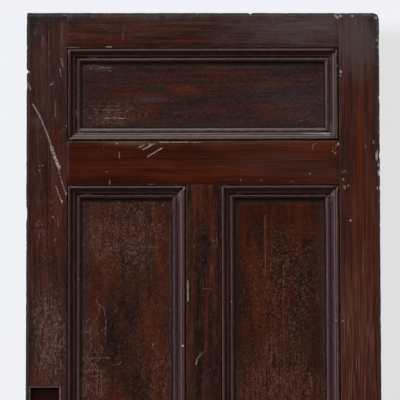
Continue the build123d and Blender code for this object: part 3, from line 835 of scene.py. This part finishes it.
def frieze_panel_varnish():
    f = panel_finish("frieze_panel_varnish", "X", 20.0, "frieze",
                     tone(0.027, 0.0090, 0.0074), tone(0.015, 0.0074, 0.0068), tone(0.035, 0.0092, 0.0058))
    f.tone_drifts(0.60, tone(0.056, 0.0125, 0.0056), (34.0, 7.0), (0.44, 0.72))
    f.tone_drifts(0.65, tone(0.0135, 0.0100, 0.0110), (24.0, 6.0), (0.46, 0.72))
    f.tone_drifts(0.22, tone(0.050, 0.040, 0.043), (40.0, 5.0), (0.34, 0.66))
    f.tints([
        ((180, 88), (60, 16), tone(0.088, 0.0165, 0.0060), 0.75),
        ((147, 111), (40, 15), tone(0.084, 0.0180, 0.0070), 0.75),
        ((283, 84), (70, 14), tone(0.070, 0.0145, 0.0062), 0.70),
        ((150, 82), (80, 12), tone(0.058, 0.0110, 0.0045), 0.55),
        ((290, 98), (170, 90), tone(0.044, 0.034, 0.037), 0.45),
        ((190, 100), (60, 14), tone(0.0125, 0.0090, 0.0100), 0.75),
        ((105, 93), (60, 14), tone(0.017, 0.0120, 0.0130), 0.65),
        ((148, 99), (60, 13), tone(0.066, 0.048, 0.051), 0.30),
        # The pale patch at pixel (98, 68) is painted sheen.
        ((110, 116), (80, 26), tone(0.062, 0.038, 0.032), 0.35), ((98, 68), (50, 12), PAINTED_SHEEN, 0.35),
    ])
    f.dashes(0.08, [((110, 114), (120, 46), 0.65), ((98, 67), (50, 14), 0.7), ((180, 116), (100, 24), 0.20),
                    ((305, 115), (70, 30), 0.2)], tone(0.170, 0.115, 0.086), (620.0, 110.0), 0.57)
    f.crazing(150.0, 0.0, [((110, 112), (80, 30), 0.3)])
    f.scratches({
        VEIN: [
            ([(87, 65.2), (98.5, 65)], 1.8, 0.9, 0.5), ([(98, 67.3), (111, 67)], 1.8, 0.9, 0.5),
            ([(94, 109), (120, 109.5)], 1.6, 0.8, 0.8), ([(108, 70.4), (110, 70.4)], 2.2, 0.9, 0.2),
            ([(296, 121), (316, 117)], 1.4, 0.5, 0.8),
        ],
        TAN: [([(104, 117.5), (125, 117.8)], 1.8, 0.7, 0.8)],
    })
    return panel_done(f)


# Cracks in the varnish of the tall panel at the lock side, in pixels of the photograph.
PANEL_CRACKS = (
    [(98.1, 314.8), (94, 320.5), (90.8, 326.9), (89.5, 331.4), (90.1, 339), (90.8, 346), (88.2, 352.4),
     (86.3, 358.1)],
    [(105.4, 317.3), (105.4, 325.6), (104.8, 335.2)], [(105.2, 326.5), (101, 330.7)],
    [(85, 331.7), (88.2, 331.7)], [(93.3, 332.3), (99.7, 333.6)],
    [(98.4, 343.5), (102.2, 347.3), (101.3, 353)], [(90.8, 357.5), (108.6, 357.5)],
    [(83.1, 364.2), (94.6, 364.2)], [(112.4, 364.5), (117.5, 364.8), (120.7, 361.3)],
    [(96.5, 373.4), (96.5, 394.5)], [(100.3, 369), (101, 394.5)], [(86.3, 384.3), (94, 382.4)],
    [(114.4, 311.6), (117.5, 307)], [(88.2, 318.6), (86.3, 321)],
    [(98.1, 314.8), (99, 306), (96, 300)], [(105, 317), (103, 306.5), (99, 304.5)],
)


def upper_lock_panel_varnish():
    f = panel_finish("upper_lock_panel_varnish", "Z", 21.0, "upper_lock",
                     tone(0.040, 0.0108, 0.0068), tone(0.019, 0.0068, 0.0050), tone(0.048, 0.0102, 0.0044))
    f.tone_drifts(0.45, tone(0.072, 0.0165, 0.0050), (34.0, 8.0), (0.42, 0.72))
    f.tone_drifts(0.65, DARK_BROWN, (26.0, 9.0), (0.46, 0.72))
    # The dark brown patches at pixels (167, 215) and (104, 216) are painted shade in the panel's top corners
    # under the mouldings.
    f.tints([
        ((124, 358), (80, 190), tone(0.019, 0.0072, 0.0050), 0.75),
        ((92, 235), (36, 110), tone(0.070, 0.044, 0.037), 0.40),
        ((135, 235), (90, 90), tone(0.080, 0.027, 0.021), 0.35), ((112, 270), (16, 60), ORANGE, 0.6),
        ((157, 245), (13, 80), ORANGE, 0.6), ((147, 325), (20, 80), ORANGE, 0.9),
        ((122, 318), (9, 40), ORANGE, 0.6), ((167, 215), (16, 50), DARK_BROWN, 0.6),
        ((112, 335), (50, 140), tone(0.008, 0.0048, 0.0040), 0.95),
        ((130, 308), (38, 65), tone(0.008, 0.0048, 0.0040), 0.85),
        ((88, 335), (30, 100), tone(0.070, 0.042, 0.037), 0.45),
        ((136, 388), (44, 70), tone(0.009, 0.0050, 0.0042), 0.8), ((98, 358), (30, 40), DARK_BROWN, 0.6),
        ((104, 216), (60, 30), DARK_BROWN, 0.4),
    ])
    f.crazing(150.0, 0.18, [
        ((125, 235), (150, 140), 0.6), ((88, 375), (60, 130), 0.75), ((156, 375), (60, 120), 0.5),
    ], 0.10, tone(0.160, 0.080, 0.064), 0.9)
    f.dashes(0.10, [((125, 235), (150, 140), 0.5), ((90, 380), (60, 110), 0.5)],
             tone(0.145, 0.072, 0.058), (430.0, 130.0), 0.56)
    f.scratches({tone(0.160, 0.092, 0.076): [(points, 2.1, 0.65, 0.9) for points in PANEL_CRACKS]})
    f.spots({
        PALE: [
            ((152.5, 343.7), (2.6, 2.2), 0.5), ((93, 236), (3.0, 1.6), 0.35),
            ((162.6, 204.6), (2.0, 2.0), 0.4),
        ],
    })
    return panel_done(f)


def upper_hinge_panel_varnish():
    f = panel_finish("upper_hinge_panel_varnish", "Z", 22.0, "upper_hinge",
                     tone(0.029, 0.0074, 0.0042), tone(0.014, 0.0052, 0.0038), tone(0.037, 0.0078, 0.0030))
    f.tone_drifts(0.60, tone(0.066, 0.0120, 0.0026), (34.0, 9.0), (0.42, 0.70))
    f.tone_drifts(0.75, tone(0.0095, 0.0050, 0.0048), (26.0, 10.0), (0.46, 0.70))
    f.tints([
        ((255, 270), (36, 90), tone(0.080, 0.0150, 0.0030), 0.6),
        ((298, 225), (22, 90), tone(0.072, 0.0130, 0.0030), 0.5),
        ((258, 305), (24, 70), tone(0.098, 0.0200, 0.0035), 0.70), ((277, 235), (24, 80), DIRT_AND_SHADE, 0.6),
        ((298, 325), (32, 65), DIRT_AND_SHADE, 0.6), ((305, 255), (22, 110), DARK_BROWN, 0.6),
        ((278, 398), (160, 230), tone(0.086, 0.0240, 0.0130), 0.8),
        ((288, 350), (26, 50), tone(0.012, 0.0062, 0.0060), 0.7),
        ((237, 300), (15, 280), tone(0.013, 0.0070, 0.0064), 0.70),
        ((318, 290), (14, 280), tone(0.026, 0.0125, 0.0105), 0.60),
        ((310.6, 380), (4, 26), tone(0.145, 0.050, 0.016), 0.85),
    ])
    f.crazing(150.0, 0.05, [((278, 398), (155, 220), 0.6), ((285, 280), (130, 210), 0.4)],
              0.10, tone(0.140, 0.060, 0.042), 1.1)
    f.dashes(0.05, [((278, 398), (155, 220), 0.5)], tone(0.140, 0.068, 0.050), (430.0, 150.0), 0.56)
    f.dashes(0.0, [((285, 385), (150, 170), 0.75)], DIRT_AND_SHADE, (260.0, 22.0), 0.55)
    f.dashes(0.0, [((285, 285), (120, 210), 0.75), ((255, 290), (60, 150), 0.6)],
             tone(0.140, 0.094, 0.080), (265.0, 200.0), 0.62)
    f.scratches({
        RED_CRACK: [
            ([(264.6, 215), (264.2, 232), (265, 252), (264.6, 276)], 1.8, 0.85, 0.6),
            ([(282.6, 284), (282.4, 330)], 1.5, 0.6, 0.7), ([(271, 336), (271, 364)], 1.8, 0.7, 0.7),
            ([(258, 298), (270, 292), (279, 284)], 1.0, 0.4, 0.8),
        ],
        VEIN: [([(283.2, 265), (282.8, 284)], 1.8, 0.7, 0.7)],
    })
    return panel_done(f)


def lower_panel_varnish(name, seed, opening):
    f = panel_finish(name, "Z", seed, opening,
                     tone(0.048, 0.0125, 0.0070), tone(0.024, 0.0080, 0.0052), tone(0.056, 0.0115, 0.0042))
    # A painted sheen in drifts: the haze of the room reflected in the varnish.
    f.tone_drifts(0.12)
    f.tone_drifts(0.40, tone(0.066, 0.0150, 0.0045), (34.0, 8.0), (0.42, 0.72))
    f.tone_drifts(0.50, DARK_BROWN, (26.0, 9.0), (0.46, 0.72))
    f.crazing(150.0, 0.15)
    f.dashes(0.12, (), tone(0.145, 0.072, 0.058), (430.0, 130.0), 0.56)
    return panel_done(f)


# Places on the moulding's section, from the frame's edge: the roll's crest and its half width in millimetres,
# and in metres where the bead starts and where dirt and painted shade lie in the reveal and at the toe.
ROLL_CREST = (7.2, 3.0)
BEAD_START = (0.0225, 0.0245)
REVEAL_DIRT_AND_SHADE = (0.0018, 0.0042)
TOE_DIRT_AND_SHADE = (0.0325, 0.0337)


def moulding_varnish(name, grain, seed, bead, bands, crest, chips):
    """Varnish of the planted mouldings: a roll with a paler crest of wear and painted highlight, a bead of
    its own tone, and bands of dirt, dust, painted shade and painted sheen along the section.

    A band is its middle from the frame's edge and its half width in millimetres, a colour and an amount. On
    the hinge side the bead's tone is a painted sheen, on the bottom it is dust with a painted highlight, and
    the bottom's chips are painted highlights.
    """
    f = Finish(name, grain, seed)
    f.wood(tone(0.042, 0.0115, 0.0080), tone(0.023, 0.0078, 0.0062), tone(0.048, 0.0115, 0.0066),
           0.6, 0.45, 0.35)
    # A painted sheen in drifts: the haze of the room reflected in the varnish.
    f.tone_drifts(0.10)
    w = f.w
    step = w.sum("MULTIPLY", f.distance["Opening"], -1.0)
    patchy = w.sum("MULTIPLY_ADD", f.coarse, 0.35, 0.75)
    f.lay(w.sum("MULTIPLY", w.ramp(step, *BEAD_START), w.sum("MULTIPLY", patchy, 0.6)), bead)
    # Each band lays dirt, dust, painted shade or painted sheen as the moulding lists it; the first is the
    # roll's paler crest, wear with a painted highlight.
    for middle, half, colour, amount in ((*ROLL_CREST, ROLL_WEAR_AND_HIGHLIGHT, crest), *bands):
        away = w.sum("ABSOLUTE", w.sum("SUBTRACT", step, middle / 1000))
        band = w.ramp(away, 0.4 * half / 1000, half / 1000, amount, 0.0)
        f.lay(band if colour is DIRT_AND_SHADE else w.sum("MULTIPLY", band, patchy), colour)
    # Dirt and painted shade on the roll's side down in the reveal.
    f.lay(w.ramp(step, *REVEAL_DIRT_AND_SHADE, 1.0, 0.0), DIRT_AND_SHADE)
    # Dirt and painted shade at the toe, in the crease against the panel.
    f.lay(w.ramp(step, *TOE_DIRT_AND_SHADE, 0.0, 0.85), DIRT_AND_SHADE)
    f.dashes(0.12)
    f.spots(chips)
    return f.done(0.26, 0.28)


def wedge_finish():
    """End grain of the tenon wedges, dark with old varnish and dirt."""
    f = Finish("wedge_end_grain", "X", 40.0)
    f.wood(tone(0.060, 0.026, 0.016), tone(0.030, 0.014, 0.010), tone(0.066, 0.028, 0.015), 0.6, 0.6, 0.6)
    f.tone_drifts(0.35, GREY_WEAR)
    f.worn_edge("Side", 2.0, 0.4, BLUE_GREY)
    return f.done()


# Pieces.

def only(piece):
    bpy.ops.object.select_all(action="DESELECT")
    piece.select_set(True)
    bpy.context.view_layer.objects.active = piece


def copy_of(node):
    """A merged copy of a CAD node, ready to be worked on, left in edit mode."""
    only(nodes[node])
    bpy.ops.object.duplicate()
    piece = bpy.context.object
    bpy.ops.object.parent_clear(type="CLEAR_KEEP_TRANSFORM")
    for key in [key for key in piece.keys() if key.startswith("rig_")]:
        del piece[key]
    piece.name = "worn_" + node
    piece.data.materials.clear()
    bpy.ops.object.mode_set(mode="EDIT")
    bpy.ops.mesh.select_all(action="SELECT")
    bpy.ops.mesh.remove_doubles(threshold=MERGE_DISTANCE)
    return piece


def cut(axis, places):
    """Cuts what is shown of the mesh in edit mode across an axis at each place."""
    for place in places:
        bpy.ops.mesh.select_all(action="SELECT")
        spot, normal = [0.0, 0.0, 0.0], [0.0, 0.0, 0.0]
        spot[axis], normal[axis] = place, 1.0
        bpy.ops.mesh.bisect(plane_co=spot, plane_no=normal)


def cut_part(piece, chosen, axis, places):
    """Cuts only the faces whose corners are all chosen."""
    bpy.ops.mesh.select_mode(type="FACE")
    mesh = bmesh.from_edit_mesh(piece.data)
    for face in mesh.faces:
        face.select_set(all(chosen(v.co) for v in face.verts))
    bmesh.update_edit_mesh(piece.data)
    bpy.ops.mesh.hide(unselected=True)
    cut(axis, places)
    bpy.ops.mesh.reveal(select=False)


def spaced(low, high, pitch):
    """Places between two ends, about a pitch apart."""
    count = max(1, round((high - low) / pitch))
    return [low + (high - low) * k / count for k in range(1, count)]


def finish_piece(piece, node, material, angle):
    only(piece)
    bpy.ops.object.shade_smooth_by_angle(angle=radians(angle))
    piece.data.materials.append(material)
    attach(piece, "root")
    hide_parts(node)


def near(value, target):
    return abs(value - target) < PLACE_SLACK


def soften_arrises(piece):
    """Rounds the arrises beside the openings and shoulders of a member."""
    levels = sorted({z for opening in OPENINGS.values() for z in opening[2:]})
    mesh = bmesh.from_edit_mesh(piece.data)
    for edge in mesh.edges:
        ends = [v.co for v in edge.verts]
        on_face = all(near(abs(c.y), FACE) for c in ends)
        upright = any(all(near(abs(c.x), x) for c in ends) for x in (STILE_EDGE, MUNTIN_EDGE))
        level = any(all(near(c.z, z) for c in ends) for z in levels)
        sharp = len(edge.link_faces) == 2 and edge.calc_face_angle(0.0) > ARRIS_ANGLE
        edge.select_set(on_face and sharp and (upright or level))
    bmesh.update_edit_mesh(piece.data)
    bpy.ops.mesh.bevel(offset=ARRIS_WIDTH, segments=2, affect="EDGES")


def ripple(x, y, z):
    """Smooth noise from 0 to 1."""
    return 0.5 + 0.5 * noise.noise(Vector((x, y, z)))


def rubbed(broad, fine):
    """How far an edge is rubbed, from its place in a broad and in a fine noise."""
    return BROAD_RUB * ripple(*broad) + FINE_RUB * ripple(*fine) ** 3


# Bites out of the outer edges, in pixels of the photograph: place along the edge, half length, depth,
# and the share of the depth that is left at the back.
LOCK_EDGE_BITES = (
    (71.2, 1.8, 1.7, 0.8), (86.0, 3.2, 0.7, 0.3), (213.5, 8.0, 1.0, 0.9), (47.0, 3.0, 0.5, 0.5),
    (158.0, 5.0, 0.4, 0.6), (300.0, 6.0, 0.4, 0.6),
)
HINGE_EDGE_BITES = (
    (46.0, 14.0, 0.5, 0.9), (97.5, 6.0, 0.5, 0.8), (154.8, 3.4, 0.9, 0.0), (173.2, 2.2, 1.1, 0.0),
    (187.0, 2.2, 0.7, 0.0), (141.4, 2.0, 0.5, 0.3), (240.0, 5.0, 0.4, 0.6), (318.0, 4.0, 0.5, 0.6),
)
TOP_EDGE_BITES = (
    (250.0, 1.6, 1.4, 0.7), (337.0, 4.0, 0.5, 0.2), (345.0, 3.0, 0.4, 0.4), (96.0, 6.0, 0.3, 0.6),
)

# The leaf's edges in the photograph: the columns of its sides and the row of its top. PIXEL is about the size
# of a pixel there, in metres.
LOCK_EDGE_COLUMN = 27.0
HINGE_EDGE_COLUMN = 378.0
TOP_EDGE_ROW = 14.0
PIXEL = (FACE - EYE.y) / FOCAL


def bite(bites, along, y):
    """How deep the edge is bitten at a place along it, at depth y in the leaf."""
    deepest = 0.0
    back = min(1.0, max(0.0, (y + FACE) / (2 * FACE)))
    for middle, half, depth, left in bites:
        inside = 1.0 - ((along - middle) / (half * PIXEL)) ** 2
        if inside > 0.0:
            deepest = max(deepest, depth * PIXEL * inside ** 0.6 * (1.0 - back * (1.0 - left)))
    return deepest


SIDE_BITES = {
    -1.0: [(on_front(LOCK_EDGE_COLUMN, row).z, *rest) for row, *rest in LOCK_EDGE_BITES],
    1.0: [(on_front(HINGE_EDGE_COLUMN, row).z, *rest) for row, *rest in HINGE_EDGE_BITES],
}
TOP_BITES = [(on_front(column, TOP_EDGE_ROW).x, *rest) for column, *rest in TOP_EDGE_BITES]


def wear_edges(piece):
    """Rubs and bites the outer edges, which stand a little past the solids, and rounds the hinge corner."""
    for vertex in piece.data.vertices:
        p = vertex.co
        if abs(p.y) > FACE - FACE_SLACK:
            p.y += MEMBER_WAVE * noise.noise(Vector((p.x * 9.0, p.y * 40.0, p.z * 5.0)))
        band = (EDGE_BAND - HALF_WIDTH + abs(p.x)) / EDGE_BAND
        if band > 0.0:
            hand = 1.0 if p.x > 0 else -1.0
            rub = rubbed((3.0, p.y * 30.0, p.z * 22.0), (hand * 4.3, p.y * 120.0, p.z * 150.0))
            low, high = SIDE_RISE[hand]
            rise = low + (high - low) * max(0.0, p.z - RISE_START) / (HEIGHT - RISE_START)
            p.x += hand * band * (rise - max(rub, bite(SIDE_BITES[hand], p.z, p.y)))
        band = (EDGE_BAND - HEIGHT + p.z) / EDGE_BAND
        if band > 0.0:
            share = (p.x + HALF_WIDTH) / (2 * HALF_WIDTH)
            rise = TOP_RISE[0] + (TOP_RISE[1] - TOP_RISE[0]) * share
            rub = rubbed((p.x * 26.0, p.y * 30.0, 7.0), (p.x * 140.0, p.y * 120.0, 3.0))
            p.z += band * (rise - max(rub, bite(TOP_BITES, p.x, p.y)))
        corner = Vector((p.x - HALF_WIDTH + CORNER_WEAR, p.z - HEIGHT + CORNER_WEAR))
        if corner.x > 0 and corner.y > 0 and corner.length > CORNER_WEAR:
            corner = corner.normalized() * CORNER_WEAR
            p.x, p.z = HALF_WIDTH - CORNER_WEAR + corner.x, HEIGHT - CORNER_WEAR + corner.y


def cut_edge_band(piece, axis, hand, edge, along, places):
    """Cuts the band beside an outer edge finely, so that it can be rubbed and bitten."""
    cut(axis, [hand * (edge - EDGE_BAND), hand * (edge - EDGE_BAND / 2)])

    def in_band(co):
        return co[axis] * hand > edge - EDGE_BAND - BAND_SLACK
    cut_part(piece, in_band, 1, EDGE_DEPTHS)
    cut_part(piece, in_band, along, places)


def sink_faces(piece, beyond, depth, scale):
    """Lets the surface that stands further out than a place sink a little, unevenly."""
    for vertex in piece.data.vertices:
        p = vertex.co
        if abs(p.y) > beyond:
            hand = 1.0 if p.y > 0 else -1.0
            p.y -= hand * depth * ripple(p.x * scale[0], p.y * scale[1], p.z * scale[2])


def worn_member(node, material):
    piece = copy_of(node)
    bpy.ops.mesh.dissolve_limited(angle_limit=radians(FLAT_ANGLE))
    soften_arrises(piece)
    bpy.ops.mesh.select_all(action="SELECT")
    bpy.ops.mesh.quads_convert_to_tris()
    low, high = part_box(node)
    cut(0, spaced(low.x, high.x, MEMBER_PITCH))
    cut(2, spaced(low.z, high.z, MEMBER_PITCH))
    if node.endswith("_stile"):
        hand = 1.0 if high.x > 0.0 else -1.0
        cut_edge_band(piece, 0, hand, HALF_WIDTH, 2, spaced(low.z, high.z, EDGE_PITCH))
    if high.z > HEIGHT - TOP_SLACK:
        cut_edge_band(piece, 2, 1.0, HEIGHT, 0, spaced(low.x, high.x, EDGE_PITCH))
    bpy.ops.object.mode_set(mode="OBJECT")
    wear_edges(piece)
    finish_piece(piece, node, material, SHARP_ANGLE)


def worn_panel(node, material):
    piece = copy_of(node)
    bpy.ops.mesh.dissolve_limited(angle_limit=radians(FLAT_ANGLE))
    bpy.ops.mesh.quads_convert_to_tris()
    low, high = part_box(node)
    cut(0, spaced(low.x, high.x, PANEL_PITCH_ACROSS))
    cut(2, spaced(low.z, high.z, PANEL_PITCH_UP))
    bpy.ops.object.mode_set(mode="OBJECT")
    sink_faces(piece, PANEL_FACE - FACE_SLACK, PANEL_WAVE, (11.0, 90.0, 4.0))
    finish_piece(piece, node, material, SHARP_ANGLE)


def worn_moulding(node, material):
    piece = copy_of(node)
    low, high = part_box(node)
    axis = 2 if node.endswith("_side") else 0
    cut(axis, spaced(low[axis], high[axis], MOULDING_PITCH))
    bpy.ops.object.mode_set(mode="OBJECT")
    sink_faces(piece, PANEL_FACE + MOULDING_FOOT, MOULDING_WAVE, (20.0, 60.0, 20.0))
    finish_piece(piece, node, material, MOULDING_SHARP_ANGLE)


set_camera()
light_around()
lay_floor()

member_finishes = {
    "lock_stile": lock_stile_varnish(), "hinge_stile": hinge_stile_varnish(),
    "top_rail": top_rail_varnish(), "frieze_rail": frieze_rail_varnish(),
    "lock_rail": plain_rail_varnish("lock_rail_varnish", 5.0),
    "bottom_rail": plain_rail_varnish("bottom_rail_varnish", 6.0),
    "upper_muntin": muntin_varnish("upper_muntin_varnish", 7.0),
    "lower_muntin": muntin_varnish("lower_muntin_varnish", 8.0),
}
panel_finishes = {
    "frieze_panel": frieze_panel_varnish(), "upper_lock_panel": upper_lock_panel_varnish(),
    "upper_hinge_panel": upper_hinge_panel_varnish(),
    "lower_lock_panel": lower_panel_varnish("lower_lock_panel_varnish", 23.0, "lower_lock"),
    "lower_hinge_panel": lower_panel_varnish("lower_hinge_panel_varnish", 24.0, "lower_hinge"),
}
moulding_finishes = {
    # On the top mouldings the dark bands are painted shade on the downward faces and beside the reveal, with
    # dirt and painted shade in the quirk.
    "top": moulding_varnish("top_moulding_varnish", "X", 31.0, tone(0.036, 0.0125, 0.0090), [
        (23.5, 3.8, DIRT_AND_SHADE, 0.85), (14.5, 4.5, DIRT_AND_SHADE, 0.5), (2.5, 3.0, DIRT_AND_SHADE, 0.9),
    ], 0.15, {}),
    # On the bottom mouldings the pale bead, fillet and dust bands are dust with a painted highlight where
    # light from above falls, and the dark bands dirt with painted shade.
    "bottom": moulding_varnish("bottom_moulding_varnish", "X", 32.0, tone(0.066, 0.055, 0.053), [
        (23.5, 2.4, DIRT_AND_SHADE, 0.7), (19.4, 2.2, tone(0.165, 0.150, 0.142), 0.95), (14.0, 4.0, DUST_AND_HIGHLIGHT, 0.15),
        (28.5, 3.2, DUST_AND_HIGHLIGHT, 0.3), (3.2, 3.0, DIRT_AND_SHADE, 0.7),
    ], 0.15, {
        # These two pale streaks are painted highlights along the moulding.
        tone(0.40, 0.38, 0.41): [((318, 132.6), (60, 2.6), 0.55)],
        tone(0.30, 0.28, 0.28): [((180, 132.8), (110, 2.0), 0.25)],
    }),
    # On the lock side mouldings the dark hollow is painted shade, the quirk dirt with painted shade, and the
    # strong crest a painted highlight with wear.
    "lock_side": moulding_varnish("lock_side_moulding_varnish", "Z", 33.0, tone(0.060, 0.048, 0.044), [
        (21.8, 2.4, DIRT_AND_SHADE, 0.7), (13.8, 3.4, DIRT_AND_SHADE, 0.4),
    ], 0.9, {
        PALE: [
            ((231.2, 301.3), (2.4, 2.2), 0.8), ((77.7, 279.3), (2.2, 2.6), 0.6),
            ((234.3, 208.5), (1.8, 3.0), 0.5),
        ],
    }),
    # On the hinge side mouldings the purple-grey bead and bands are painted sheen, the reflection of a cool
    # light from the lock side.
    "hinge_side": moulding_varnish("hinge_side_moulding_varnish", "Z", 34.0, tone(0.060, 0.046, 0.064), [
        (21.8, 2.4, DIRT_AND_SHADE, 0.45), (14.2, 4.0, tone(0.050, 0.038, 0.054), 0.6),
        (18.8, 2.0, tone(0.050, 0.038, 0.054), 0.6),
    ], 0.35, {
        PINK: [((182.2, 345.3), (3.4, 3.8), 0.95), ((335.7, 319.8), (2.4, 2.0), 0.6)],
        PALE: [((326.1, 345.6), (2.4, 1.8), 0.7), ((336.4, 65), (1.6, 5.0), 0.35)],
    }),
}
wedge_wood = wedge_finish()

for node, material in member_finishes.items():
    worn_member(node, material)
for node, material in panel_finishes.items():
    worn_panel(node, material)
for node in sorted(nodes):
    if "_moulding_" in node:
        worn_moulding(node, moulding_finishes[node.split("_moulding_")[1]])
for node in ("lock_stile_wedges", "hinge_stile_wedges"):
    nodes[node].data.materials.clear()
    nodes[node].data.materials.append(wedge_wood)

bpy.context.scene.view_settings.view_transform = "Standard"
